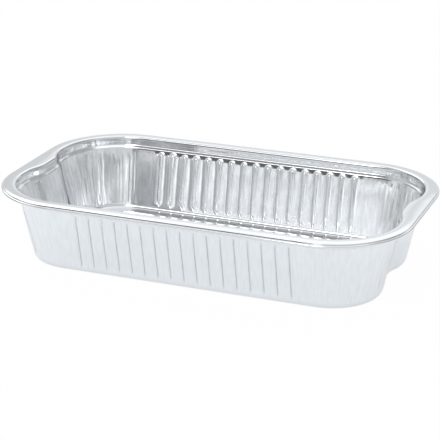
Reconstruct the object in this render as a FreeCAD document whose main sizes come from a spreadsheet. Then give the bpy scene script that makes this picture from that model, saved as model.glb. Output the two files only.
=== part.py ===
import FreeCAD, Part
import Sketcher
import math
import os

# Pressed foil tray: one sheet of aluminium drawn into a drafted well with fluted long walls,
# a stacking shoulder, a flat flange and a rolled rim, and a finger recess in each short end.
#
# Frame: the origin is at the middle of the underside, +X runs along the tray and +Z is up.
# The tray is the space between two press dies: the outer one bounds the underside of the
# sheet, the inner one its upper side, and the inner one is the outer one moved in by the foil.

os.makedirs("parts", exist_ok=True)
doc = FreeCAD.newDocument("FoilTray")

# Driving dimensions, in millimetres and degrees

SIZES = {
    # rim and flange
    "rim_length": 227.4,
    "rim_width": 133.4,
    "rim_corner_radius": 43.2,
    "tray_height": 41.5,
    "foil": 0.15,
    "flange_width": 7.7,
    # rolled rim
    "curl_radius": 1.2,
    "curl_rise_angle": 40.0,
    "curl_sweep_angle": 250.0,
    # upright band and stacking shoulder under the flange
    "mouth_radius": 1.0,
    "band_height": 5.0,
    "band_draft": 3.0,
    "shoulder_step": 1.3,
    "shoulder_drop": 1.3,
    "shoulder_radius": 0.5,
    # main wall and base
    "wall_draft": 11.5,
    "base_radius": 3.0,
    "channel_width": 7.0,
    "panel_rise": 0.8,
    "panel_slope": 40.0,
    # finger recess in each short end
    "recess_depth": 3.6,
    "recess_flat": 8.2,
    "lobe_flat": 1.7,
    # flutes of the long walls
    "flute_count": 17,
    "flute_pitch": 7.33,
    "flute_depth": 1.0,
    "flute_tip_width": 0.5,
    "flute_half_angle": 50.0,
    "flute_top_gap": 0.4,
    "flute_top_runout": 16.0,
    "flute_foot_gap": 1.0,
    "flute_foot_runout": 2.5,
}

sheet = doc.addObject("Spreadsheet::Sheet", "Sizes")
for row, (alias, value) in enumerate(SIZES.items(), start=1):
    sheet.set("A%d" % row, alias)
    sheet.set("B%d" % row, str(value))
    sheet.setAlias("B%d" % row, alias)
doc.recompute()


def size(alias):
    """A driving dimension, read from the sheet."""
    return float(sheet.get(alias))


foil = size("foil")
height = size("tray_height")

# Half sizes of the well's outline at the mouth, where the flange ends
mouth_half_length = size("rim_length") / 2 - size("flange_width")
mouth_half_width = size("rim_width") / 2 - size("flange_width")
mouth_corner_radius = size("rim_corner_radius") - size("flange_width")

# The curl stands outside the flat of the flange, and the rim's sizes are over the curl
curl_run = size("curl_radius") * (1 + math.sin(math.radians(size("curl_rise_angle"))))

# Two levels closer than this are the same one
SAME_PLACE = 1e-4


def vec(x, y, z=0.0):
    return FreeCAD.Vector(x, y, z)


def add_shape(name, shape):
    """A document object that holds a shape worked out from the sheet."""
    feature = doc.addObject("Part::Feature", name)
    feature.Shape = shape
    return feature


def arc(first, middle, last):
    return Part.Arc(first, middle, last).toShape()


def line(first, last):
    return Part.LineSegment(first, last).toShape()


def turned_copy(edges):
    """The same edges turned half a turn about the upright axis."""
    copies = []
    for edge in edges:
        copy = edge.copy()
        copy.rotate(vec(0, 0), vec(0, 0, 1), 180)
        copies.append(copy)
    return copies


# Outlines in plan


def rim_outline(inset, level):
    """Rounded rectangle that lies inset from the rim's outer edge."""
    half_length = size("rim_length") / 2 - inset
    half_width = size("rim_width") / 2 - inset
    radius = size("rim_corner_radius") - inset
    x, y = half_length - radius, half_width - radius
    bulge = radius * math.sqrt(0.5)
    half = [
        line(vec(-x, -half_width, level), vec(x, -half_width, level)),
        arc(
            vec(x, -half_width, level),
            vec(x + bulge, -y - bulge, level),
            vec(half_length, -y, level),
        ),
        line(vec(half_length, -y, level), vec(half_length, y, level)),
        arc(
            vec(half_length, y, level),
            vec(x + bulge, y + bulge, level),
            vec(x, half_width, level),
        ),
    ]
    return Part.Wire(half + turned_copy(half))


def recess_half(inset, level, side):
    """Edges of one short end from its corner to the recess floor, on the side given by its sign."""
    end = mouth_half_length - inset
    depth = size("recess_depth")
    flat = size("recess_flat") / 2
    corner = mouth_half_width - mouth_corner_radius
    lobe = corner - size("lobe_flat")
    run = lobe - flat
    radius = (run * run + depth * depth) / (4 * depth)
    half_turn = math.asin(run / 2 / radius) / 2
    across, along = radius * (1 - math.cos(half_turn)), radius * math.sin(half_turn)
    middle = vec(end - depth / 2, side * (flat + run / 2), level)
    return [
        line(vec(end, side * corner, level), vec(end, side * lobe, level)),
        arc(
            vec(end, side * lobe, level),
            vec(end - across, side * (lobe - along), level),
            middle,
        ),
        arc(
            middle,
            vec(end - depth + across, side * (flat + along), level),
            vec(end - depth, side * flat, level),
        ),
    ]


def well_outline(inset, level):
    """Outline of the well with its two recesses, inset from the mouth."""
    half_length = mouth_half_length - inset
    half_width = mouth_half_width - inset
    radius = mouth_corner_radius - inset
    x, y = half_length - radius, half_width - radius
    bulge = radius * math.sqrt(0.5)
    floor_x = half_length - size("recess_depth")
    floor_y = size("recess_flat") / 2
    half = [line(vec(-x, -half_width, level), vec(x, -half_width, level))]
    half.append(
        arc(
            vec(x, -half_width, level),
            vec(x + bulge, -y - bulge, level),
            vec(half_length, -y, level),
        )
    )
    half += recess_half(inset, level, -1)
    half.append(line(vec(floor_x, -floor_y, level), vec(floor_x, floor_y, level)))
    half += reversed(recess_half(inset, level, 1))
    half.append(
        arc(
            vec(half_length, y, level),
            vec(x + bulge, y + bulge, level),
            vec(x, half_width, level),
        )
    )
    return Part.Wire(Part.__sortEdges__(half + turned_copy(half)))


# Section of the wall, as insets from the mouth and heights

band_slope = math.tan(math.radians(size("band_draft")))
wall_slope = math.tan(math.radians(size("wall_draft")))
band_foot = height - size("band_height")
shoulder_foot = band_foot - size("shoulder_drop")
band_inset = size("band_height") * band_slope
shoulder_inset = band_inset + size("shoulder_step")
base_inset = shoulder_inset + shoulder_foot * wall_slope

WALL_SECTION = [
    (base_inset, 0.0),
    (shoulder_inset, shoulder_foot),
    (band_inset, band_foot),
    (0.0, height),
]


def offset_line(first, last, distance):
    """The line through two points of a section, moved towards the inside of the tray."""
    along = (last[0] - first[0], last[1] - first[1])
    length = math.hypot(*along)
    normal = (along[1] / length, -along[0] / length)
    point = (first[0] + normal[0] * distance, first[1] + normal[1] * distance)
    return point, along


def crossing(one, other):
    """Where two lines meet, each given as a point and a direction."""
    (p, d), (q, e) = one, other
    share = ((q[0] - p[0]) * e[1] - (q[1] - p[1]) * e[0]) / (d[0] * e[1] - d[1] * e[0])
    return (p[0] + d[0] * share, p[1] + d[1] * share)


def die_section(distance, top):
    """The wall's section moved in by a distance, from the floor up to the level of its top."""
    floor_line = ((0.0, distance), (1.0, 0.0))
    mouth_line = ((0.0, top), (1.0, 0.0))
    lines = [offset_line(a, b, distance) for a, b in zip(WALL_SECTION, WALL_SECTION[1:])]
    lines = [floor_line] + lines + [mouth_line]
    return [crossing(a, b) for a, b in zip(lines, lines[1:])]


# Dies


def well_edges_at(shape, level):
    """Numbers of the edges that go round the well at a level, apart from those of the plate."""
    found = []
    for number, edge in enumerate(shape.Edges, start=1):
        box = edge.BoundBox
        flat = abs(box.ZMin - level) < SAME_PLACE and abs(box.ZMax - level) < SAME_PLACE
        inside_x = max(-box.XMin, box.XMax) < mouth_half_length + foil
        inside_y = max(-box.YMin, box.YMax) < mouth_half_width + foil
        if flat and inside_x and inside_y:
            found.append(number)
    return found


def build_die(name, distance, cap_bottom, cap_inset):
    """A solid die with its bends rounded: its well, under a plate that shapes the flange.

    The plate is as thick as the band is high, and only the foil at the flange remains of it.
    """
    section = die_section(distance, cap_bottom)
    outlines = []
    for number, (inset, level) in enumerate(section):
        outlines.append(add_shape("%s_outline_%d" % (name, number), well_outline(inset, level)))
    well = doc.addObject("Part::Loft", name + "_well")
    well.Sections = outlines
    well.Solid = True
    well.Ruled = True

    cap_face = add_shape(name + "_cap_outline", Part.Face(rim_outline(cap_inset, cap_bottom)))
    cap = doc.addObject("Part::Extrusion", name + "_cap")
    cap.Base = cap_face
    cap.Dir = vec(0, 0, 1)
    cap.setExpression("LengthFwd", "Sizes.band_height")
    cap.Solid = True

    joined = doc.addObject("Part::MultiFuse", name + "_joined")
    joined.Shapes = [well, cap]
    joined.Refine = True
    doc.recompute()

    base_level, shoulder_level, band_level, mouth_level = [point[1] for point in section]
    bends = [
        (base_level, size("base_radius") - distance),
        (shoulder_level, size("shoulder_radius") + distance),
        (band_level, size("shoulder_radius") + foil - distance),
        (mouth_level, size("mouth_radius") + distance),
    ]
    rounded = doc.addObject("Part::Fillet", name + "_rounded")
    rounded.Base = joined
    chosen = []
    for level, radius in bends:
        chosen += [(number, radius, radius) for number in well_edges_at(joined.Shape, level)]
    rounded.Edges = chosen
    doc.recompute()
    return rounded


outer_die = build_die("outer_die", 0.0, height - foil, curl_run)
inner_die = build_die("inner_die", foil, height, 0.0)

# Flutes: grooves pressed into the long walls from outside, which run out at both ends


def wall_point(along, outward):
    """A point of the wall's plane on the +Y side, from distances up the wall and out of it."""
    draft = math.radians(size("wall_draft"))
    foot_y = mouth_half_width - base_inset
    return vec(
        0.0,
        foot_y + along * math.sin(draft) + outward * math.cos(draft),
        along * math.cos(draft) - outward * math.sin(draft),
    )


def bend_length(radius, turn):
    """Length that a rounded bend takes from each of its two sides."""
    return radius * math.tan(math.radians(turn) / 2)


def flute_path():
    """The flute's run: out of the wall at its foot, up the wall, and out of it at its top."""
    wall_length = shoulder_foot / math.cos(math.radians(size("wall_draft")))
    depth = size("flute_depth")
    lift = depth + foil * 2
    shoulder_turn = math.degrees(math.atan2(size("shoulder_step"), size("shoulder_drop")))
    foot = bend_length(size("base_radius"), 90 - size("wall_draft")) + size("flute_foot_gap")
    top = wall_length - size("flute_top_gap")
    top -= bend_length(size("shoulder_radius"), shoulder_turn - size("wall_draft"))
    ends = []
    for name, edge_place, way in (("flute_foot_runout", foot, 1), ("flute_top_runout", top, -1)):
        radius = size(name)
        full = edge_place + way * math.sqrt(2 * radius * depth - depth * depth)
        turn = math.acos(1 - lift / radius)
        start = wall_point(full - way * radius * math.sin(turn), lift)
        middle = wall_point(
            full - way * radius * math.sin(turn / 2), radius * (1 - math.cos(turn / 2))
        )
        ends.append((start, middle, wall_point(full, 0.0), turn))
    (low, low_middle, low_end, low_turn), (high, high_middle, high_start, _) = ends
    edges = [
        arc(low, low_middle, low_end),
        line(low_end, high_start),
        arc(high_start, high_middle, high),
    ]
    return Part.Wire(edges), low, low_turn


def add_sketch(name, geometry):
    """A sketch with its lines and arcs, which its constraints then drive."""
    sketch = doc.addObject("Sketcher::SketchObject", name)
    sketch.addGeometry(geometry, False)
    return sketch


def bind(sketch, kind, elements, formula):
    """A constraint of the sketch whose value follows a formula of the sheet's cells."""
    value = float(sketch.evalExpression(formula))
    number = sketch.addConstraint(Sketcher.Constraint(kind, *elements, value))
    sketch.setExpression("Constraints[%d]" % number, formula)


def flute_section(name, growth, place, turn):
    """The flute's section, grown by a formula: a narrow flat tip between two straight flanks."""
    tip = "(Sizes.flute_tip_width + 2 * (%s) * tan(45 - Sizes.flute_half_angle / 2))" % growth
    depth = "(Sizes.flute_depth + %s)" % growth
    reach = "(2 * Sizes.flute_depth + %s)" % growth
    top = "%s + 2 * %s * tan(Sizes.flute_half_angle)" % (tip, reach)
    corners = [vec(-1, -1), vec(1, -1), vec(2, 1), vec(-2, 1)]
    sides = [Part.LineSegment(a, b) for a, b in zip(corners, corners[1:] + corners[:1])]
    sketch = add_sketch(name, sides)
    for side in range(4):
        joint = Sketcher.Constraint("Coincident", side, 2, (side + 1) % 4, 1)
        sketch.addConstraint(joint)
    for side in (0, 2):
        sketch.addConstraint(Sketcher.Constraint("Symmetric", side, 1, side, 2, -2))
    bind(sketch, "DistanceX", (0, 1, 0, 2), tip)
    bind(sketch, "DistanceX", (2, 2, 2, 1), top)
    bind(sketch, "DistanceY", (0, 1, -1, 1), depth)
    bind(sketch, "DistanceY", (-1, 1, 2, 1), "Sizes.flute_depth")
    lean = math.radians(size("wall_draft")) - turn
    out = vec(0.0, math.cos(lean), -math.sin(lean))
    up = vec(0.0, math.sin(lean), math.cos(lean))
    sketch.Placement = FreeCAD.Placement(place, FreeCAD.Rotation(vec(1, 0, 0), out, up, "ZXY"))
    return sketch


def flute_row(name, growth):
    """One flute, and its copies along both long walls."""
    path, place, turn = flute_path()
    spine = add_shape(name + "_path", path)
    single = doc.addObject("Part::Sweep", name + "_single")
    single.Sections = [flute_section(name + "_section", growth, place, turn)]
    single.Spine = (spine, ["Edge1", "Edge2", "Edge3"])
    single.Solid = True
    doc.recompute()
    count = int(size("flute_count"))
    copies = []
    for number in range(count):
        flute = single.Shape.copy()
        flute.translate(vec((number - (count - 1) / 2) * size("flute_pitch"), 0.0))
        copies.append(flute)
        copies.append(flute.mirror(vec(0, 0), vec(0, 1, 0)))
    return add_shape(name + "_row", Part.Compound(copies))


# Floor panel: the middle of the floor is pressed up inside a channel along the wall


def panel_tool(name, distance):
    """What is taken from under a die so that its floor rises inside the channel."""
    slope = math.radians(size("panel_slope"))
    shift = distance * math.tan(slope / 2)
    inset = base_inset + size("channel_width")
    run = size("panel_rise") / math.tan(slope)
    outlines = [
        well_outline(inset - shift, distance),
        well_outline(inset - shift + run, size("panel_rise") + distance),
    ]
    tool = doc.addObject("Part::Loft", name)
    tool.Sections = [add_shape("%s_outline_%d" % (name, n), w) for n, w in enumerate(outlines)]
    tool.Solid = True
    tool.Ruled = True
    return tool


def cut(name, base, tool):
    result = doc.addObject("Part::Cut", name)
    result.Base = base
    result.Tool = tool
    return result


outer_fluted = cut("outer_fluted", outer_die, flute_row("outer_flute", "0"))
inner_fluted = cut("inner_fluted", inner_die, flute_row("inner_flute", "Sizes.foil"))
outer_form = cut("outer_form", outer_fluted, panel_tool("outer_panel", 0.0))
inner_form = cut("inner_form", inner_fluted, panel_tool("inner_panel", foil))
sheet_body = cut("pressed_sheet", outer_form, inner_form)
doc.recompute()


# Rolled rim: the edge of the foil turned up a little, over, down and back under


def curl_section(name):
    """The curl's section, with x outwards from the flat of the flange and y upwards.

    Its sides are the outer arc, the inner arc, the lip between their free ends, the line under
    the crease and the foil's own thickness at the crease, which stands on the origin.
    """
    first = math.radians(90 + size("curl_rise_angle"))
    last = first - math.radians(size("curl_sweep_angle"))
    radius = size("curl_radius")
    centre = vec(radius * math.sin(first - math.pi / 2), -radius * math.sin(first))
    arcs = [
        Part.ArcOfCircle(Part.Circle(centre, vec(0, 0, 1), r), last, first)
        for r in (radius, radius - foil)
    ]
    outer_arc, inner_arc = arcs
    under_crease = vec(0, -foil)
    lines = [
        Part.LineSegment(outer_arc.StartPoint, inner_arc.StartPoint),
        Part.LineSegment(inner_arc.EndPoint, under_crease),
        Part.LineSegment(under_crease, vec(0, 0)),
    ]
    sketch = add_sketch(name, arcs + lines)
    outer, inner, lip, under, edge = range(5)
    meetings = [(outer, 3, inner, 3), (outer, 2, -1, 1), (edge, 2, -1, 1)]
    meetings += [(outer, 1, lip, 1), (inner, 1, lip, 2), (inner, 2, under, 1), (under, 2, edge, 1)]
    for meeting in meetings:
        sketch.addConstraint(Sketcher.Constraint("Coincident", *meeting))
    sketch.addConstraint(Sketcher.Constraint("PointOnObject", outer, 3, lip))
    sketch.addConstraint(Sketcher.Constraint("Vertical", edge))
    bind(sketch, "DistanceY", (edge, 1, edge, 2), "Sizes.foil")
    bind(sketch, "Radius", (outer,), "Sizes.curl_radius")
    bind(sketch, "Radius", (inner,), "Sizes.curl_radius - Sizes.foil")
    bind(sketch, "DistanceX", (-1, 1, outer, 3), "Sizes.curl_radius * sin(Sizes.curl_rise_angle)")
    for curve in (outer, inner):
        bind(sketch, "Angle", (curve,), "Sizes.curl_sweep_angle * 1 deg")
    return sketch


curl_path = add_shape("curl_path", rim_outline(curl_run, height))
section = curl_section("curl_section")
section.Placement = FreeCAD.Placement(
    curl_path.Shape.Wires[0].OrderedVertexes[0].Point,
    FreeCAD.Rotation(vec(0, -1, 0), vec(0, 0, 1), vec(-1, 0, 0), "ZXY"),
)
curl = doc.addObject("Part::Sweep", "rolled_rim")
curl.Sections = [section]
curl.Spine = (curl_path, ["Edge%d" % n for n in range(1, len(curl_path.Shape.Edges) + 1)])
curl.Solid = True

tray = doc.addObject("Part::MultiFuse", "foil_tray")
tray.Label = "foil_tray"
tray.Shapes = [sheet_body, curl]
tray.Refine = True
doc.recompute()

for feature in doc.Objects:
    if {"Invalid", "Error"} & set(feature.State):
        raise RuntimeError("%s failed" % feature.Name)
if tray.Shape.isNull() or not tray.Shape.isValid() or len(tray.Shape.Solids) != 1:
    raise RuntimeError("%s isn't one valid solid" % tray.Label)
tray.Shape.exportStep("parts/%s.step" % tray.Label)
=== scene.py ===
"""Looks of a pressed aluminium foil tray: one thin sheet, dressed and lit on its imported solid.

Lengths are in metres. The tray is long in X, wide in Y and open towards +Z.
"""

import logging
import math
import random
from dataclasses import dataclass, field
from enum import Enum

import bmesh
import bpy
from mathutils import Matrix, Vector, noise


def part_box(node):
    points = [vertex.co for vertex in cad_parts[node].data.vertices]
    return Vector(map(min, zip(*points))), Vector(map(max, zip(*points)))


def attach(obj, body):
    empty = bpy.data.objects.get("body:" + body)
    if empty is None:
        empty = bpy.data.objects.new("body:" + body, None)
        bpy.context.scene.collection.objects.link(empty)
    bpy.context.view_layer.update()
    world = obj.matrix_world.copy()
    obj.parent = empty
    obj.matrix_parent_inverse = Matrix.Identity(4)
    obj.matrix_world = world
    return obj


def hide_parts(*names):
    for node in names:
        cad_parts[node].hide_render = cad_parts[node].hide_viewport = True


LOG = logging.getLogger("foil tray")
MM = 0.001
NODE = "foil_tray"

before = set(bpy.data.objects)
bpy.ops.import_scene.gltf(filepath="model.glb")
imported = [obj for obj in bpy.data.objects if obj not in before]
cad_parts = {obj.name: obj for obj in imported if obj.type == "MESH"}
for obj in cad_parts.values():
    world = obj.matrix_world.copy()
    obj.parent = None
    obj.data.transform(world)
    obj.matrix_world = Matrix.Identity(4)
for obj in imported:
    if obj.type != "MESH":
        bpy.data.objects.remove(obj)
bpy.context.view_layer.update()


class Zone(Enum):
    """Stretches of the tray's outline, each with its own relief."""

    SIDE = "long wall"
    CORNER = "corner"
    END = "short end"


# Sizes


@dataclass(frozen=True)
class TraySizes:
    """Sizes of the pressed sheet, as the solid has them.

    The bead, the crease and small step inside it, the droop and the softer shoulder bends are
    the scene's own, and `curl_radius` is that of the solid's plainer curl.
    """

    rim_half_length: float
    rim_half_width: float
    flange_level: float
    rim_corner_radius: float = 43.2 * MM
    flange_width: float = 7.7 * MM
    foil: float = 0.15 * MM
    curl_radius: float = 1.2 * MM
    bead_radius: float = 0.72 * MM
    curl_rise: float = math.radians(40)
    curl_sweep: float = math.radians(250)
    crease_radius: float = 0.08 * MM
    edge_radius: float = 0.16 * MM
    edge_step: float = 0.7 * MM
    edge_lean: float = math.radians(6)
    flange_droop: float = 0.4 * MM
    mouth_radius: float = 1.0 * MM
    band_height: float = 5.0 * MM
    band_draft: float = math.radians(3)
    shoulder_step: float = 1.3 * MM
    shoulder_drop: float = 1.3 * MM
    shoulder_radius: float = 0.9 * MM
    wall_draft: float = math.radians(11.5)
    base_radius: float = 3.0 * MM
    channel_width: float = 7.0 * MM
    panel_rise: float = 0.8 * MM
    panel_slope: float = math.radians(40)
    panel_radius: float = 0.8 * MM
    recess_depth: float = 3.6 * MM
    recess_flat: float = 8.2 * MM
    lobe_flat: float = 1.7 * MM

    @classmethod
    def from_frame(cls) -> "TraySizes":
        """Reads the rim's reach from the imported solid.

        Returns:
            The sizes, with the rim's half sizes and the flange's level from the frame.
        """
        low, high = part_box(NODE)
        bead = cls.curl_radius * (1 - math.cos(cls.curl_rise))
        return cls((high.x - low.x) / 2, (high.y - low.y) / 2, high.z - bead)

    @property
    def mouth_half_length(self) -> float:
        """Half the length of the well's outline where the flange ends."""
        return self.rim_half_length - self.flange_width

    @property
    def mouth_half_width(self) -> float:
        """Half the width of the well's outline where the flange ends."""
        return self.rim_half_width - self.flange_width

    @property
    def mouth_corner_radius(self) -> float:
        """Radius of the well's corners where the flange ends."""
        return self.rim_corner_radius - self.flange_width

    @property
    def curl_run(self) -> float:
        """How far the curl reaches past the foot of the crease at the flange's edge."""
        return self.bead_radius * (1 + math.sin(self.curl_rise))

    @property
    def wall_section(self) -> list[Vector]:
        """Corners of the wall's underside as insets from the mouth and heights, from the top."""
        band_foot = self.flange_level - self.band_height
        shoulder_foot = band_foot - self.shoulder_drop
        band_inset = self.band_height * math.tan(self.band_draft)
        shoulder_inset = band_inset + self.shoulder_step
        base_inset = shoulder_inset + shoulder_foot * math.tan(self.wall_draft)
        return [
            Vector((0.0, self.flange_level)),
            Vector((band_inset, band_foot)),
            Vector((shoulder_inset, shoulder_foot)),
            Vector((base_inset, 0.0)),
        ]

    @property
    def wall_length(self) -> float:
        """Length of the wall's slope, from the shoulder's foot down to the base."""
        return self.wall_section[2].y / math.cos(self.wall_draft)


@dataclass(frozen=True)
class FluteSizes:
    """The row of grooves that is pressed into each long wall from outside.

    Attributes:
        crest_share: Part of a groove's depth that its narrow crest takes, over a wider skirt.
        nose_spread: How much wider the crest grows at its top end, in its own widths.
        nose_shift: How far the tops lie lower than they could, more or less by as much again.
        spread_unevenness: How much the noses differ in width, and `length_unevenness` in length.
        stations: Where the outline has points beside a groove's middle, in millimetres.
    """

    count: int = 17
    pitch: float = 7.33 * MM
    depth: float = 1.3 * MM
    crest_half_width: float = 0.31 * MM
    skirt_half_width: float = 1.15 * MM
    crest_share: float = 0.6
    foot_gap: float = 1.0 * MM
    foot_runout: float = 2.5 * MM
    top_gap: float = 0.4 * MM
    top_runout: float = 2.8 * MM
    nose_spread: float = 3.6
    nose_length: float = 3.4 * MM
    nose_shift: float = 0.25 * MM
    spread_unevenness: float = 0.6
    length_unevenness: float = 0.35
    stations: tuple[float, ...] = (0.0, 0.2, 0.42, 0.75, 1.3, 2.2)

    def run(self, radius: float) -> float:
        """Length along the wall over which a groove runs out to nothing."""
        return math.sqrt(2 * radius * self.depth - self.depth**2)

    def profile(self, offset: float, spread: float) -> float:
        """Share of the full depth at a distance from the middle of a groove.

        Args:
            offset: The distance.
            spread: How much wider the groove's crest is there than lower down.

        Returns:
            The share.
        """
        value = 0.0
        for half_width, share in (
            (self.crest_half_width * spread, self.crest_share),
            (self.skirt_half_width, 1 - self.crest_share),
        ):
            edge = 1 / (1 + (self.pitch / 2 / half_width) ** 2)
            here = 1 / (1 + (offset / half_width) ** 2)
            value += share * (here - edge) / (1 - edge)
        return max(0.0, value)


# Section of the sheet


def crossing(first: tuple[Vector, Vector], second: tuple[Vector, Vector]) -> Vector:
    """Finds where two lines of a section meet.

    Args:
        first: A point of one line and its direction.
        second: A point of the other line and its direction.

    Returns:
        The point where they cross.
    """
    (p, d), (q, e) = first, second
    share = ((q.x - p.x) * e.y - (q.y - p.y) * e.x) / (d.x * e.y - d.y * e.x)
    return p + d * share


def offset_section(points: list[Vector], distance: float) -> list[Vector]:
    """Moves a section's lines sideways, to the left of the way they run, and joins them again.

    Args:
        points: Corners of the section.
        distance: How far each line moves.

    Returns:
        The new corners. The first and last stay on their own levels.
    """
    lines = []
    for start, end in zip(points, points[1:]):
        along = end - start
        side = Vector((-along.y, along.x)).normalized() * distance
        lines.append((start + side, along))
    level = Vector((1.0, 0.0))
    lines = [(points[0], level)] + lines + [(points[-1], level)]
    return [crossing(a, b) for a, b in zip(lines, lines[1:])]


def bend(before: Vector, corner: Vector, after: Vector, radius: float, steps: int) -> list[Vector]:
    """Rounds one corner of a section.

    Args:
        before: A point on the line that runs into the corner.
        corner: The corner.
        after: A point on the line that runs out of it.
        radius: Radius of the rounded bend.
        steps: Number of runs that the bend is divided into.

    Returns:
        The points of the bend, from its start to its end.
    """
    one = (before - corner).normalized()
    other = (after - corner).normalized()
    half = one.angle(other) / 2
    centre = corner + (one + other).normalized() * (radius / math.sin(half))
    first = (corner + one * (radius / math.tan(half)) - centre).normalized()
    last = (corner + other * (radius / math.tan(half)) - centre).normalized()
    return [centre + first.slerp(last, step / steps) * radius for step in range(steps + 1)]


@dataclass(frozen=True)
class Level:
    """One ring of the sheet: its place in the section, seen from each point of the mouth.

    A ring lies outwards from the mouth by `out`, and by `share` of what the flange has left
    there between its inner bend and its crease.
    """

    out: float
    height: float
    share: float = 0.0
    wall: bool = False


@dataclass
class SheetSection:
    """The section of the sheet's upper side, from the curl's lip to the floor panel."""

    sizes: TraySizes
    flutes: FluteSizes
    curl_steps: int = 8
    mouth_steps: int = 3
    shoulder_steps: int = 3
    base_steps: int = 4
    panel_steps: int = 2
    middle_rings: int = 4
    runout_rings: int = 6
    foot_rings: int = 3

    def mouth_reach(self) -> float:
        """How far the mouth's bend reaches onto the flange."""
        turn = math.pi / 2 - self.sizes.band_draft
        radius = self.sizes.mouth_radius + self.sizes.foil
        return radius * math.tan(turn / 2)

    def curl(self) -> list[Level]:
        """Rings of the curl, from its lip under the rim up to the crease."""
        sizes = self.sizes
        centre_out = sizes.bead_radius * math.sin(sizes.curl_rise)
        centre_height = sizes.flange_level - sizes.edge_step
        centre_height -= sizes.bead_radius * math.cos(sizes.curl_rise)
        rings = []
        for step in range(self.curl_steps + 1):
            angle = sizes.curl_sweep * (1 - step / self.curl_steps) - sizes.curl_rise
            out = centre_out + sizes.bead_radius * math.sin(angle)
            height = centre_height + sizes.bead_radius * math.cos(angle)
            rings.append(Level(out, height, share=1.0))
        return rings[:-1]

    def crease(self) -> list[Level]:
        """Rings of the small step down from the flange's edge to the foot of the curl."""
        sizes = self.sizes
        rise = Vector((math.cos(sizes.curl_rise), math.sin(sizes.curl_rise)))
        foot = Vector((0.0, sizes.flange_level - sizes.edge_step))
        lean = sizes.edge_step * math.tan(sizes.edge_lean)
        edge = Vector((-lean, sizes.flange_level))
        points = bend(foot + rise, foot, edge, sizes.crease_radius, 2)
        points += bend(foot, edge, edge - Vector((1.0, 0.0)), sizes.edge_radius, 2)
        return [Level(p.x, p.y, share=1.0) for p in points]

    def flange(self) -> list[Level]:
        """The ring in the middle of the flange's flat."""
        return [Level(0.0, self.sizes.flange_level, share=0.5)]

    def well(self) -> list[Level]:
        """Rings from the mouth's bend down the wall to the floor panel."""
        sizes = self.sizes
        foil = sizes.foil
        flange, band, shoulder, base = offset_section(sizes.wall_section, foil)
        base = base + Vector((0.0, foil))
        base.x -= foil * math.tan(sizes.wall_draft)
        panel_foot = Vector((base.x + sizes.channel_width, foil))
        panel_run = sizes.panel_rise / math.tan(sizes.panel_slope)
        panel_top = panel_foot + Vector((panel_run, sizes.panel_rise))
        start = flange - Vector((self.mouth_reach() * 2, 0.0))
        floor = panel_top + Vector((sizes.channel_width, 0.0))
        mouth_bend = bend(start, flange, band, sizes.mouth_radius + foil, self.mouth_steps)
        band_bend = bend(flange, band, shoulder, sizes.shoulder_radius, self.shoulder_steps)
        shoulder_bend = bend(
            band, shoulder, base, sizes.shoulder_radius + foil, self.shoulder_steps
        )
        base_bend = bend(shoulder, base, panel_foot, sizes.base_radius - foil, self.base_steps)
        foot_bend = bend(base, panel_foot, panel_top, sizes.panel_radius, self.panel_steps)
        top_bend = bend(panel_foot, panel_top, floor, sizes.panel_radius, self.panel_steps)
        upper = mouth_bend + [(mouth_bend[-1] + band_bend[0]) / 2] + band_bend + shoulder_bend
        lower = base_bend + [(base_bend[-1] + foot_bend[0]) / 2] + foot_bend + top_bend
        rings = [Level(-p.x, p.y) for p in upper]
        rings += self.wall(shoulder_bend[-1], base_bend[0])
        rings += [Level(-p.x, p.y) for p in lower]
        return rings

    def wall(self, top: Vector, foot: Vector) -> list[Level]:
        """Rings of the main wall, closer together where the flutes run out.

        Args:
            top: End of the shoulder's bend.
            foot: Start of the base's bend.

        Returns:
            The rings between those two points, from the top down.
        """
        length = (top - foot).length
        top_run = self.flutes.nose_length + self.flutes.top_gap
        foot_run = self.flutes.run(self.flutes.foot_runout) + self.flutes.foot_gap
        places = [top_run * n / self.runout_rings for n in range(1, self.runout_rings + 1)]
        middle = length - top_run - foot_run
        places += [top_run + middle * n / self.middle_rings for n in range(1, self.middle_rings)]
        places += [length - foot_run * (1 - n / self.foot_rings) for n in range(self.foot_rings)]
        points = [top.lerp(foot, place / length) for place in places]
        return [Level(-p.x, p.y, wall=True) for p in points]

    def levels(self) -> list[Level]:
        """All rings, from the curl's lip to the edge of the floor panel."""
        return self.curl() + self.crease() + self.flange() + self.well()


# Outline of the sheet in plan


@dataclass(frozen=True)
class Station:
    """One point of the mouth's outline, from which every ring measures outwards.

    Attributes:
        mouth: The point on the mouth's outline.
        outwards: The way in which the rings lie apart there.
        facing: The outline's own normal, which the relief follows.
        reach: Distance from the mouth to the rim's outer edge.
        along: Distance round the mouth's outline.
        zone: The stretch of the outline that it belongs to.
        from_flute: Distance from the middle of the nearest flute.
    """

    mouth: Vector
    outwards: Vector
    facing: Vector
    reach: float
    along: float
    zone: Zone
    from_flute: float = 0.0


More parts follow.
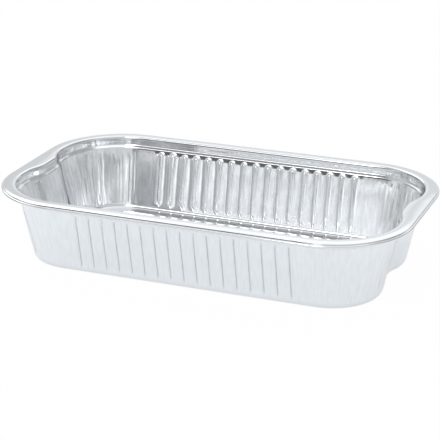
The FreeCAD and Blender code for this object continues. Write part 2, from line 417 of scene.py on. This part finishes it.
@dataclass
class TrayOutline:
    """The mouth's outline, a rounded rectangle with a finger recess in each short end."""

    sizes: TraySizes
    flutes: FluteSizes
    corner_steps: int = 92
    end_steps: int = 60
    flat_steps: int = 4

    def side(self) -> list[tuple[Vector, Vector, Vector, float, Zone, float]]:
        """Points of the long wall on the -Y side, from -X to +X, closer together at each flute."""
        half = self.sizes.mouth_half_length - self.sizes.mouth_corner_radius
        places = []
        reach = self.flutes.pitch * (self.flutes.count - 1) / 2
        for number in range(self.flutes.count):
            centre = number * self.flutes.pitch - reach
            offsets = [place * MM for place in self.flutes.stations]
            around = sorted({-offset for offset in offsets} | set(offsets))
            places += [(centre + offset, abs(offset)) for offset in around]
            places.append((centre + self.flutes.pitch / 2, self.flutes.pitch / 2))
        places.insert(0, (-reach - self.flutes.pitch / 2, self.flutes.pitch / 2))
        left = half - reach - self.flutes.pitch / 2
        for step in range(1, self.flat_steps):
            off = left * step / self.flat_steps
            places.insert(0, (-half + left - off, self.flutes.pitch / 2 + off))
            places.append((half - left + off, self.flutes.pitch / 2 + off))
        down = Vector((0.0, -1.0))
        y = -self.sizes.mouth_half_width
        reach = self.sizes.flange_width
        return [(Vector((x, y)), down, down, reach, Zone.SIDE, away) for x, away in places]

    def corner(self) -> list[tuple[Vector, Vector, Vector, float, Zone, float]]:
        """Points of the corner at +X and -Y, from the long wall to the short end."""
        radius = self.sizes.mouth_corner_radius
        centre = Vector(
            (self.sizes.mouth_half_length - radius, -self.sizes.mouth_half_width + radius)
        )
        points = []
        for step in range(self.corner_steps + 1):
            angle = math.pi / 2 * step / self.corner_steps
            way = Vector((math.sin(angle), -math.cos(angle)))
            points.append(
                (centre + way * radius, way, way, self.sizes.flange_width, Zone.CORNER, 1.0)
            )
        return points

    def recess(self, y: float) -> tuple[float, float]:
        """Depth of the finger recess across a short end.

        Args:
            y: Distance from the tray's middle plane.

        Returns:
            How far the recess lies inwards there, and its slope.
        """
        sizes = self.sizes
        flat = sizes.recess_flat / 2
        lobe = sizes.mouth_half_width - sizes.mouth_corner_radius - sizes.lobe_flat
        run, depth = lobe - flat, sizes.recess_depth
        radius = (run * run + depth * depth) / (4 * depth)
        place = abs(y) - flat
        if place <= 0:
            return depth, 0.0
        if place >= run:
            return 0.0, 0.0
        near = min(place, run - place)
        fall = radius - math.sqrt(radius * radius - near * near)
        slope = -math.copysign(near / math.sqrt(radius * radius - near * near), y)
        return (depth - fall if place < run / 2 else fall), slope

    def end(self) -> list[tuple[Vector, Vector, Vector, float, Zone, float]]:
        """Points of the short end at +X, from -Y to +Y, without those of the corners."""
        half = self.sizes.mouth_half_width - self.sizes.mouth_corner_radius
        points = []
        for step in range(1, self.end_steps):
            y = half * (2 * step / self.end_steps - 1)
            depth, slope = self.recess(y)
            facing = Vector((1.0, slope)).normalized()
            mouth = Vector((self.sizes.mouth_half_length - depth, y))
            reach = self.sizes.flange_width + depth
            points.append((mouth, Vector((1.0, 0.0)), facing, reach, Zone.END, 1.0))
        return points

    def stations(self) -> list[Station]:
        """All stations in order round the tray, anticlockwise from the -X end of the -Y side."""
        corner = self.corner()
        upper_corner = []
        for mouth, outwards, facing, reach, zone, offset in reversed(corner):
            turned = [Vector((v.x, -v.y)) for v in (mouth, outwards, facing)]
            upper_corner.append((*turned, reach, zone, offset))
        half = self.side() + corner + self.end() + upper_corner
        for mouth, outwards, facing, reach, zone, offset in list(half):
            half.append((-mouth, -outwards, -facing, reach, zone, offset))
        stations = []
        along = 0.0
        for number, (mouth, outwards, facing, reach, zone, offset) in enumerate(half):
            if number:
                along += (mouth - half[number - 1][0]).length
            stations.append(Station(mouth, outwards, facing, reach, along, zone, offset))
        return stations


# Relief of the walls


@dataclass(frozen=True)
class Wrinkle:
    """One draw wrinkle: a long low ridge that runs down the wall at a small lean."""

    along: float
    lean: float
    half_width: float
    height: float
    low: float
    high: float
    reach: float = 3.0
    low_fade: float = 4 * MM
    high_fade: float = 2.5 * MM

    def rise(self, along: float, height: float) -> float:
        """Height of the ridge at a place of the wall.

        Args:
            along: Distance round the outline.
            height: Level above the floor.

        Returns:
            How far the sheet stands off its plain surface there.
        """
        away = (along - self.along - self.lean * (height - self.high)) / self.half_width
        if abs(away) > self.reach:
            return 0.0
        fade = min(1.0, max(0.0, (height - self.low) / self.low_fade))
        fade *= min(1.0, max(0.0, (self.high - height) / self.high_fade))
        return self.height * math.exp(-away * away) * fade * fade * (3 - 2 * fade)


@dataclass
class WallRelief:
    """What the press leaves in the walls: flutes, draw wrinkles and a slight unevenness."""

    sizes: TraySizes
    flutes: FluteSizes
    outline: list[Station]
    seed: int = 11
    corner_wrinkles: int = 74
    end_wrinkles: int = 34
    wrinkle_margin: float = 2 * MM
    wrinkle_lean: float = 0.11
    swell: float = 0.05 * MM
    swell_length: float = 16 * MM
    swell_foot: float = 6 * MM
    swell_top: float = 3 * MM
    nose_gain: float = 1.9
    nose_step: float = 1.37
    nose_row: float = 0.4
    wrinkles: list[Wrinkle] = field(default_factory=list)

    def __post_init__(self) -> None:
        """Draws the wrinkles of each corner and short end."""
        draw = random.Random(self.seed)
        spans: list[tuple[Zone, float, float]] = []
        for station in self.outline:
            if spans and spans[-1][0] is station.zone:
                zone, start, _ = spans.pop()
                spans.append((zone, start, station.along))
            else:
                spans.append((station.zone, station.along, station.along))
        for zone, start, end in spans:
            if zone is Zone.SIDE:
                continue
            count = self.corner_wrinkles if zone is Zone.CORNER else self.end_wrinkles
            for _ in range(count):
                self.wrinkles.append(self.draw_wrinkle(draw, start, end))

    def draw_wrinkle(self, draw: random.Random, start: float, end: float) -> Wrinkle:
        """Draws one wrinkle at random.

        Args:
            draw: Source of random numbers.
            start: Where the stretch starts, as a distance round the outline.
            end: Where it ends.

        Returns:
            The wrinkle.
        """
        top = self.sizes.wall_section[2].y
        return Wrinkle(
            along=draw.uniform(start + self.wrinkle_margin, end - self.wrinkle_margin),
            lean=draw.gauss(0.0, self.wrinkle_lean),
            half_width=draw.uniform(0.4, 0.75) * MM,
            height=draw.choice((-1, 1)) * draw.uniform(0.05, 0.17) * MM,
            low=draw.uniform(1, 14) * MM,
            high=top - draw.uniform(0.5, 9) * MM,
        )

    def unevenness(self, station: Station) -> float:
        """How much the nearest flute's top differs from the next ones, from about -1 to 1."""
        number = round(station.mouth.x / self.flutes.pitch)
        row = station.mouth.y / self.flutes.pitch
        place = Vector((number * self.nose_step, row, self.nose_row))
        return self.nose_gain * noise.noise(place)

    def flute(self, offset: float, up_wall: float, uneven: float) -> float:
        """Depth of a flute.

        Args:
            offset: Distance from the middle of the flute.
            up_wall: Distance up the wall from the base.
            uneven: How much its top differs from the next ones.

        Returns:
            How far the sheet is pressed inwards there.
        """
        flutes, sizes = self.flutes, self.sizes
        base_turn = math.pi / 2 - sizes.wall_draft
        foot = sizes.base_radius * math.tan(base_turn / 2) + flutes.foot_gap
        foot_full = foot + flutes.run(flutes.foot_runout)
        shoulder_turn = math.atan2(sizes.shoulder_step, sizes.shoulder_drop) - sizes.wall_draft
        top = sizes.wall_length - flutes.top_gap
        top -= sizes.shoulder_radius * math.tan(shoulder_turn / 2)
        top -= flutes.nose_shift * (1 - uneven)
        top_full = top - flutes.run(flutes.top_runout)
        drop = 0.0
        if up_wall < foot_full:
            past = min(foot_full - up_wall, flutes.foot_runout)
            drop = flutes.foot_runout - math.sqrt(flutes.foot_runout**2 - past**2)
        elif up_wall > top_full:
            past = min(up_wall - top_full, flutes.top_runout)
            drop = flutes.top_runout - math.sqrt(flutes.top_runout**2 - past**2)
        nose_length = flutes.nose_length * (1 + flutes.length_unevenness * uneven)
        near_top = max(0.0, 1 - (top - up_wall) / nose_length)
        spread = 1 + flutes.nose_spread * (1 + flutes.spread_unevenness * uneven) * near_top
        return max(0.0, flutes.depth - drop) * flutes.profile(offset, spread)

    def inwards(self, station: Station, level: Level) -> float:
        """How far the relief moves a point of the wall towards the inside of the tray."""
        up_wall = level.height / math.cos(self.sizes.wall_draft)
        total = 0.0
        if station.zone is Zone.SIDE:
            total += self.flute(station.from_flute, up_wall, self.unevenness(station))
        for wrinkle in self.wrinkles:
            total += wrinkle.rise(station.along, level.height)
        place = Vector((station.mouth.x, station.mouth.y, level.height)) / self.swell_length
        below_top = self.sizes.wall_section[2].y - level.height
        fade = min(1.0, level.height / self.swell_foot, below_top / self.swell_top)
        return total + self.swell * noise.noise(place) * max(0.0, fade)


# The tray


@dataclass
class Tray:
    """The pressed sheet of foil, built ring by ring from the curl's lip to the floor."""

    sizes: TraySizes
    flutes: FluteSizes
    floor_cell: float = 7 * MM
    floor_shift: float = 0.37
    floor_swell: float = 0.12 * MM
    floor_swell_length: float = 34 * MM

    def point(self, station: Station, level: Level, relief: WallRelief, inner: float) -> Vector:
        """Places one vertex.

        Args:
            station: Where on the outline it lies.
            level: The ring that it belongs to.
            relief: What the press leaves in the wall.
            inner: How far the mouth's bend reaches onto the flange.

        Returns:
            The vertex's place.
        """
        crease = station.reach - self.sizes.curl_run
        out, droop = level.out, 0.0
        if level.share:
            out += inner + level.share * (crease - inner)
            droop = self.sizes.flange_droop * level.share
        place = station.mouth + station.outwards * out
        height = level.height - droop
        if level.wall:
            depth = relief.inwards(station, level)
            place = place - station.facing * depth * math.cos(self.sizes.wall_draft)
            height += depth * math.sin(self.sizes.wall_draft)
        return Vector((place.x, place.y, height))

    def build(self) -> bpy.types.Object:
        """Builds the sheet.

        Returns:
            The finished piece, with its thickness as a modifier.
        """
        section = SheetSection(self.sizes, self.flutes)
        stations = TrayOutline(self.sizes, self.flutes).stations()
        relief = WallRelief(self.sizes, self.flutes, stations)
        inner = section.mouth_reach() - self.sizes.foil
        mesh = bmesh.new()
        ring = bmesh.ops.create_circle(mesh, segments=len(stations), radius=1.0)["verts"]
        levels = section.levels()
        for number, level in enumerate(levels):
            if number:
                ring = self.next_ring(mesh, ring)
            for vertex, station in zip(ring, stations):
                vertex.co = self.point(station, level, relief, inner)
        self.close_floor(mesh, ring, levels[-1].height)
        mesh.normal_update()
        if any(face.normal.z < 0 for face in mesh.faces if len(face.verts) > 8):
            bmesh.ops.reverse_faces(mesh, faces=mesh.faces[:])
        for face in mesh.faces:
            face.smooth = True
        data = bpy.data.meshes.new("foil_sheet")
        mesh.to_mesh(data)
        mesh.free()
        piece = bpy.data.objects.new("foil_sheet", data)
        bpy.context.scene.collection.objects.link(piece)
        wall = piece.modifiers.new("thickness", "SOLIDIFY")
        wall.thickness = self.sizes.foil
        wall.offset = -1.0
        wall.material_offset = 1
        wall.material_offset_rim = 1
        return piece

    def next_ring(
        self, mesh: bmesh.types.BMesh, ring: list[bmesh.types.BMVert]
    ) -> list[bmesh.types.BMVert]:
        """Extrudes the open edge of the sheet.

        Args:
            mesh: The sheet so far.
            ring: Its last ring of vertices, in order.

        Returns:
            The new ring, in the same order.
        """
        edges = [mesh.edges.get((a, b)) for a, b in zip(ring, ring[1:] + ring[:1])]
        made = bmesh.ops.extrude_edge_only(mesh, edges=edges)["geom"]
        fresh = {item for item in made if isinstance(item, bmesh.types.BMVert)}
        following = []
        for vertex in ring:
            beside = (edge.other_vert(vertex) for edge in vertex.link_edges)
            following.append(next(other for other in beside if other in fresh))
        return following

    def close_floor(
        self, mesh: bmesh.types.BMesh, ring: list[bmesh.types.BMVert], height: float
    ) -> None:
        """Closes the floor and gives it the slight unevenness of thin sheet.

        Args:
            mesh: The sheet so far.
            ring: The edge of the floor panel.
            height: Level of the floor panel.
        """
        floor = [bmesh.ops.contextual_create(mesh, geom=ring)["faces"][0]]
        half_length, half_width = self.sizes.mouth_half_length, self.sizes.mouth_half_width
        for axis, half in ((Vector((1, 0, 0)), half_length), (Vector((0, 1, 0)), half_width)):
            for number in range(-int(half / self.floor_cell), int(half / self.floor_cell) + 1):
                parts = set(floor)
                for face in floor:
                    parts.update(face.edges)
                    parts.update(face.verts)
                cut = bmesh.ops.bisect_plane(
                    mesh,
                    geom=list(parts),
                    plane_co=axis * (number + self.floor_shift) * self.floor_cell,
                    plane_no=axis,
                )
                floor = [item for item in cut["geom"] if isinstance(item, bmesh.types.BMFace)]
        rim, inside = set(ring), set(floor)
        for vertex in {vertex for face in floor for vertex in face.verts}:
            outside = [face for face in vertex.link_faces if face not in inside]
            if vertex in rim or any(len(face.verts) == 4 for face in outside):
                continue
            swell = noise.noise(vertex.co / self.floor_swell_length) * self.floor_swell
            vertex.co.z = height + swell


# Finishes


@dataclass(frozen=True)
class FoilFinish:
    """One side of the foil: how bright it is, how sharply it mirrors and how its grain runs."""

    name: str
    colour: tuple[float, float, float]
    roughness: float
    roughness_spread: float
    grain: float
    ripple: float
    streak: float
    # Partly painted shade: the colour's darker share, at random in the drawn streaks on the walls,
    # and all over the flange and floor as painted shade.
    shade: float
    # Painted shade in grooves and creases: its darkest share, how far the occlusion looks, and the
    # openness over which it fades.
    hollow_shade: float
    hollow_reach: float = 1.1 * MM
    hollow_openness: tuple[float, float] = (0.45, 0.9)
    smudge_scale: tuple[float, float, float] = (60, 60, 60)
    streak_scale: tuple[float, float, float] = (700, 700, 12)
    grain_scale: tuple[float, float, float] = (120, 5200, 5200)
    ripple_scale: tuple[float, float, float] = (260, 260, 90)
    streak_top: float = 0.62
    wall_foot: tuple[float, float] = (1.0 * MM, 4.0 * MM)
    wall_top: tuple[float, float] = (40.5 * MM, 37.5 * MM)

    def material(self) -> bpy.types.Material:
        """Makes the side's material.

        Returns:
            A metal with rolling grain, fine ripples and smudges in its gloss.
        """
        material = bpy.data.materials.new(self.name)
        material.use_nodes = True
        tree = material.node_tree
        tree.nodes.clear()
        output = tree.nodes.new("ShaderNodeOutputMaterial")
        metal = tree.nodes.new("ShaderNodeBsdfPrincipled")
        metal.inputs["Metallic"].default_value = 1.0
        tree.links.new(metal.outputs["BSDF"], output.inputs["Surface"])
        place = tree.nodes.new("ShaderNodeTexCoord").outputs["Object"]

        smudge = self.noise(tree, place, self.smudge_scale, 3.0)
        rough = tree.nodes.new("ShaderNodeMapRange")
        rough.inputs["To Min"].default_value = self.roughness - self.roughness_spread
        rough.inputs["To Max"].default_value = self.roughness + self.roughness_spread
        tree.links.new(smudge, rough.inputs["Value"])
        tree.links.new(rough.outputs["Result"], metal.inputs["Roughness"])

        streaks = self.noise(tree, place, self.streak_scale, 3.0)
        walls = self.on_walls(tree, place, streaks)
        # Partly painted shade: on the walls the drawn streaks darken the colour at random; the
        # flange and floor take the darker colour all over, painted shade that leaves the walls
        # looking more brightly lit.
        streaks_and_painted_shade = tree.nodes.new("ShaderNodeMix")
        streaks_and_painted_shade.data_type = "RGBA"
        streaks_and_painted_shade.inputs["A"].default_value = (*[c * self.shade for c in self.colour], 1.0)
        streaks_and_painted_shade.inputs["B"].default_value = (*self.colour, 1.0)
        lines = tree.nodes.new("ShaderNodeMapRange")
        lines.inputs["From Max"].default_value = self.streak_top
        tree.links.new(walls, lines.inputs["Value"])
        tree.links.new(lines.outputs["Result"], streaks_and_painted_shade.inputs["Factor"])
        # Painted shade in narrow grooves and creases, from local occlusion, multiplied into the
        # colour.
        hollow_shaded_colour = self.paint_hollow_shade(tree, streaks_and_painted_shade.outputs["Result"])
        tree.links.new(hollow_shaded_colour, metal.inputs["Base Color"])

        grain = self.noise(tree, place, self.grain_scale, 2.0)
        ripple = self.noise(tree, place, self.ripple_scale, 2.0)
        fine = self.bump(tree, grain, self.grain, None)
        both = self.bump(tree, ripple, self.ripple, fine)
        drawn = self.bump(tree, walls, self.streak, both)
        tree.links.new(drawn, metal.inputs["Normal"])
        return material

    def noise(
        self,
        tree: bpy.types.NodeTree,
        place: bpy.types.NodeSocket,
        scale: tuple[float, float, float],
        detail: float,
    ) -> bpy.types.NodeSocket:
        """Adds a noise pattern that may be stretched.

        Args:
            tree: The material's nodes.
            place: The coordinates it reads.
            scale: Waves per metre in X, Y and Z.
            detail: Number of finer octaves.

        Returns:
            The pattern's value.
        """
        mapping = tree.nodes.new("ShaderNodeMapping")
        mapping.inputs["Scale"].default_value = scale
        pattern = tree.nodes.new("ShaderNodeTexNoise")
        pattern.inputs["Scale"].default_value = 1.0
        pattern.inputs["Detail"].default_value = detail
        tree.links.new(place, mapping.inputs["Vector"])
        tree.links.new(mapping.outputs["Vector"], pattern.inputs["Vector"])
        return pattern.outputs["Fac"]

    def paint_hollow_shade(
        self, tree: bpy.types.NodeTree, colour: bpy.types.NodeSocket
    ) -> bpy.types.NodeSocket:
        """Paints shade into a colour in narrow grooves and creases, where the sheet shades itself.

        Args:
            tree: The material's nodes.
            colour: The colour on open ground.

        Returns:
            The colour with painted shade in its hollows.
        """
        open_sky = tree.nodes.new("ShaderNodeAmbientOcclusion")
        open_sky.only_local = True
        open_sky.samples = 8
        open_sky.inputs["Distance"].default_value = self.hollow_reach
        shade = tree.nodes.new("ShaderNodeMapRange")
        shade.inputs["From Min"].default_value = self.hollow_openness[0]
        shade.inputs["From Max"].default_value = self.hollow_openness[1]
        shade.inputs["To Min"].default_value = self.hollow_shade
        tree.links.new(open_sky.outputs["AO"], shade.inputs["Value"])
        darker = tree.nodes.new("ShaderNodeMix")
        darker.data_type = "RGBA"
        darker.blend_type = "MULTIPLY"
        darker.inputs["Factor"].default_value = 1.0
        tree.links.new(colour, darker.inputs["A"])
        tree.links.new(shade.outputs["Result"], darker.inputs["B"])
        return darker.outputs["Result"]

    def on_walls(
        self,
        tree: bpy.types.NodeTree,
        place: bpy.types.NodeSocket,
        pattern: bpy.types.NodeSocket,
    ) -> bpy.types.NodeSocket:
        """Keeps a pattern to the walls, so that it fades out at the floor and under the flange.

        Args:
            tree: The material's nodes.
            place: The coordinates it reads.
            pattern: The pattern.

        Returns:
            The pattern's value on the walls.
        """
        apart = tree.nodes.new("ShaderNodeSeparateXYZ")
        tree.links.new(place, apart.inputs["Vector"])
        value = pattern
        for start, end in (self.wall_foot, self.wall_top):
            fade = tree.nodes.new("ShaderNodeMapRange")
            fade.interpolation_type = "SMOOTHSTEP"
            fade.inputs["From Min"].default_value = start
            fade.inputs["From Max"].default_value = end
            tree.links.new(apart.outputs["Z"], fade.inputs["Value"])
            product = tree.nodes.new("ShaderNodeMath")
            product.operation = "MULTIPLY"
            tree.links.new(value, product.inputs[0])
            tree.links.new(fade.outputs["Result"], product.inputs[1])
            value = product.outputs[0]
        return value

    def bump(
        self,
        tree: bpy.types.NodeTree,
        height: bpy.types.NodeSocket,
        distance: float,
        normal: bpy.types.NodeSocket | None,
    ) -> bpy.types.NodeSocket:
        """Adds a bump.

        Args:
            tree: The material's nodes.
            height: The pattern that it raises.
            distance: How high the pattern stands, in metres.
            normal: The bump below it, if any.

        Returns:
            The bumped normal.
        """
        bump = tree.nodes.new("ShaderNodeBump")
        bump.inputs["Distance"].default_value = distance
        tree.links.new(height, bump.inputs["Height"])
        if normal is not None:
            tree.links.new(normal, bump.inputs["Normal"])
        return bump.outputs["Normal"]


BRIGHT_SIDE = FoilFinish(
    name="foil_bright_side",
    colour=(0.955, 0.965, 0.975),
    roughness=0.11,
    roughness_spread=0.03,
    grain=0.003 * MM,
    ripple=0.012 * MM,
    streak=0.035 * MM,
    shade=0.84,
    hollow_shade=0.85,
)
SATIN_SIDE = FoilFinish(
    name="foil_satin_side",
    colour=(0.87, 0.905, 0.94),
    roughness=0.24,
    roughness_spread=0.04,
    grain=0.004 * MM,
    ripple=0.02 * MM,
    streak=0.045 * MM,
    shade=0.9,
    hollow_shade=0.84,
)


# Studio


@dataclass(frozen=True)
class Viewpoint:
    """The camera: where it looks from, in degrees round and above the tray, and its lens."""

    around: float = 21.433
    above: float = 20.54
    distance: float = 842.441 * MM
    target: tuple[float, float, float] = (0.0, 0.0, 25.0 * MM)
    aside: float = 0.245 * MM
    lift: float = -4.474 * MM
    lens: float = 127.54
    sensor: float = 36.0

    def place(self) -> None:
        """Adds the camera and makes it the scene's own."""
        around, above = math.radians(self.around), math.radians(self.above)
        back = Vector(
            (
                math.sin(around) * math.cos(above),
                -math.cos(around) * math.cos(above),
                math.sin(above),
            )
        )
        right = Vector((math.cos(around), math.sin(around), 0.0))
        up = back.cross(right)
        data = bpy.data.cameras.new("camera")
        data.lens = self.lens
        data.sensor_width = self.sensor
        data.clip_start = 0.01
        camera = bpy.data.objects.new("camera", data)
        bpy.context.scene.collection.objects.link(camera)
        turn = Matrix((right, up, back)).transposed().to_4x4()
        spot = Vector(self.target) + back * self.distance + right * self.aside + up * self.lift
        camera.matrix_world = Matrix.Translation(spot) @ turn
        bpy.context.scene.camera = camera


@dataclass(frozen=True)
class SkyPatch:
    """A round patch of the studio's surroundings, in degrees, with a soft edge."""

    around: float
    above: float
    inner: float
    outer: float
    level: float

    def towards(self) -> Vector:
        """The way to the middle of the patch, seen from the tray."""
        around, above = math.radians(self.around), math.radians(self.above)
        return Vector(
            (
                math.cos(around) * math.cos(above),
                math.sin(around) * math.cos(above),
                math.sin(above),
            )
        )


@dataclass(frozen=True)
class Studio:
    """A white table in a light room with brighter and darker patches, and a soft lamp in front.

    Later patches lie over earlier ones.
    """

    floor_half: float = 3.0
    floor_to_camera: float = 0.98
    floor_to_foil: float = 0.64
    room_level: float = 0.68
    patches: tuple[SkyPatch, ...] = (
        SkyPatch(around=85, above=10, inner=15, outer=50, level=0.83),
        SkyPatch(around=111, above=17, inner=3, outer=8, level=1.02),
        SkyPatch(around=96, above=70, inner=45, outer=49, level=1.24),
        SkyPatch(around=0, above=90, inner=12, outer=30, level=1.0),
        SkyPatch(around=145, above=36, inner=15, outer=22, level=2.0),
        SkyPatch(around=25, above=30, inner=22, outer=40, level=0.42),
        SkyPatch(around=62, above=14, inner=6, outer=12, level=0.15),
        SkyPatch(around=172, above=6, inner=14, outer=32, level=0.2),
        SkyPatch(around=-165, above=52, inner=10, outer=24, level=0.55),
        SkyPatch(around=-114, above=5, inner=14, outer=26, level=0.12),
        SkyPatch(around=-134, above=60, inner=6, outer=14, level=0.3),
        SkyPatch(around=-98, above=40, inner=10, outer=15, level=2.2),
        SkyPatch(around=-117, above=42, inner=7, outer=11, level=2.3),
    )
    lamp_place: tuple[float, float, float] = (-0.12, -1.1, 0.95)
    lamp_aim: tuple[float, float, float] = (0.0, 0.0, 0.02)
    lamp_size: tuple[float, float] = (0.5, 0.4)
    lamp_power: float = 3.0

    def build_floor(self) -> None:
        """Adds the floor, white to the eye and in reflections, which keeps a faint shadow."""
        mesh = bmesh.new()
        bmesh.ops.create_grid(mesh, x_segments=1, y_segments=1, size=self.floor_half)
        data = bpy.data.meshes.new("floor")
        mesh.to_mesh(data)
        mesh.free()
        floor = bpy.data.objects.new("floor", data)
        bpy.context.scene.collection.objects.link(floor)
        floor.data.materials.append(self.floor_material())

    def floor_material(self) -> bpy.types.Material:
        """Makes the floor's material.

        Returns:
            White card that the camera and reflections see as nearly plain white.
        """
        material = bpy.data.materials.new("white_card")
        material.use_nodes = True
        tree = material.node_tree
        tree.nodes.clear()
        output = tree.nodes.new("ShaderNodeOutputMaterial")
        card = tree.nodes.new("ShaderNodeBsdfDiffuse")
        card.inputs["Color"].default_value = (0.9, 0.9, 0.9, 1.0)
        white = tree.nodes.new("ShaderNodeEmission")
        white.inputs["Color"].default_value = (1.0, 1.0, 1.0, 1.0)
        white.inputs["Strength"].default_value = 1.0
        mix = tree.nodes.new("ShaderNodeMixShader")
        tree.links.new(self.seen(tree), mix.inputs["Fac"])
        tree.links.new(card.outputs["BSDF"], mix.inputs[1])
        tree.links.new(white.outputs["Emission"], mix.inputs[2])
        tree.links.new(mix.outputs["Shader"], output.inputs["Surface"])
        return material

    def seen(self, tree: bpy.types.NodeTree) -> bpy.types.NodeSocket:
        """Adds nodes that tell rays of the camera and of reflections from the light's own.

        Args:
            tree: The nodes to add to.

        Returns:
            How much of the floor such rays see as plain white, and nothing for others.
        """
        path = tree.nodes.new("ShaderNodeLightPath")
        shares = []
        for ray, share in (
            ("Is Camera Ray", self.floor_to_camera),
            ("Is Glossy Ray", self.floor_to_foil),
        ):
            scaled = tree.nodes.new("ShaderNodeMath")
            scaled.operation = "MULTIPLY"
            scaled.inputs[1].default_value = share
            tree.links.new(path.outputs[ray], scaled.inputs[0])
            shares.append(scaled.outputs[0])
        either = tree.nodes.new("ShaderNodeMath")
        either.operation = "MAXIMUM"
        tree.links.new(shares[0], either.inputs[0])
        tree.links.new(shares[1], either.inputs[1])
        return either.outputs[0]

    def build_sky(self) -> None:
        """Makes the world: white to the camera, and a soft sky to the foil."""
        world = bpy.data.worlds.new("studio")
        bpy.context.scene.world = world
        world.use_nodes = True
        tree = world.node_tree
        tree.nodes.clear()
        output = tree.nodes.new("ShaderNodeOutputWorld")
        way = tree.nodes.new("ShaderNodeTexCoord")
        level = None
        for patch in self.patches:
            level = self.add_patch(tree, way.outputs["Generated"], patch, level)
        sky = tree.nodes.new("ShaderNodeBackground")
        sky.inputs["Color"].default_value = (0.96, 0.98, 1.0, 1.0)
        tree.links.new(level, sky.inputs["Strength"])
        plain = tree.nodes.new("ShaderNodeBackground")
        plain.inputs["Color"].default_value = (1.0, 1.0, 1.0, 1.0)
        path = tree.nodes.new("ShaderNodeLightPath")
        mix = tree.nodes.new("ShaderNodeMixShader")
        tree.links.new(path.outputs["Is Camera Ray"], mix.inputs["Fac"])
        tree.links.new(sky.outputs["Background"], mix.inputs[1])
        tree.links.new(plain.outputs["Background"], mix.inputs[2])
        tree.links.new(mix.outputs["Shader"], output.inputs["Surface"])

    def add_patch(
        self,
        tree: bpy.types.NodeTree,
        way: bpy.types.NodeSocket,
        patch: SkyPatch,
        below: bpy.types.NodeSocket | None,
    ) -> bpy.types.NodeSocket:
        """Lays one patch over the surroundings.

        Args:
            tree: The world's nodes.
            way: The direction that a ray looks in.
            patch: The patch.
            below: The brightness under the patch, or nothing for the room's own.

        Returns:
            The brightness with the patch over it.
        """
        facing = tree.nodes.new("ShaderNodeVectorMath")
        facing.operation = "DOT_PRODUCT"
        facing.inputs[1].default_value = patch.towards()
        tree.links.new(way, facing.inputs[0])
        mask = tree.nodes.new("ShaderNodeMapRange")
        mask.interpolation_type = "SMOOTHSTEP"
        mask.inputs["From Min"].default_value = math.cos(math.radians(patch.outer))
        mask.inputs["From Max"].default_value = math.cos(math.radians(patch.inner))
        tree.links.new(facing.outputs["Value"], mask.inputs["Value"])
        mix = tree.nodes.new("ShaderNodeMix")
        mix.inputs["A"].default_value = self.room_level
        mix.inputs["B"].default_value = patch.level
        tree.links.new(mask.outputs["Result"], mix.inputs["Factor"])
        if below is not None:
            tree.links.new(below, mix.inputs["A"])
        return mix.outputs["Result"]

    def add_lamp(self) -> None:
        """Adds a soft rectangular lamp that faces the tray."""
        data = bpy.data.lights.new("softbox", "AREA")
        data.shape = "RECTANGLE"
        data.size, data.size_y = self.lamp_size
        data.energy = self.lamp_power
        lamp = bpy.data.objects.new("softbox", data)
        bpy.context.scene.collection.objects.link(lamp)
        place = Vector(self.lamp_place)
        turn = (place - Vector(self.lamp_aim)).to_track_quat("Z", "Y")
        lamp.matrix_world = Matrix.Translation(place) @ turn.to_matrix().to_4x4()

    def build(self) -> None:
        """Adds the floor, the sky and the lamp."""
        self.build_floor()
        self.build_sky()
        self.add_lamp()
        bpy.context.scene.view_settings.view_transform = "Standard"


def main() -> None:
    """Builds the tray, its finishes and the studio, and reports the sheet's triangle count."""
    logging.basicConfig(level=logging.INFO, format="%(message)s")
    sizes = TraySizes.from_frame()
    tray = Tray(sizes, FluteSizes()).build()
    tray.data.materials.append(BRIGHT_SIDE.material())
    tray.data.materials.append(SATIN_SIDE.material())
    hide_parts(NODE)
    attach(tray, "root")
    triangles = sum(len(face.vertices) - 2 for face in tray.data.polygons)
    LOG.info("%s: %d triangles on each side of the sheet", tray.name, triangles)
    Viewpoint().place()
    Studio().build()


if __name__ == "__main__":
    main()
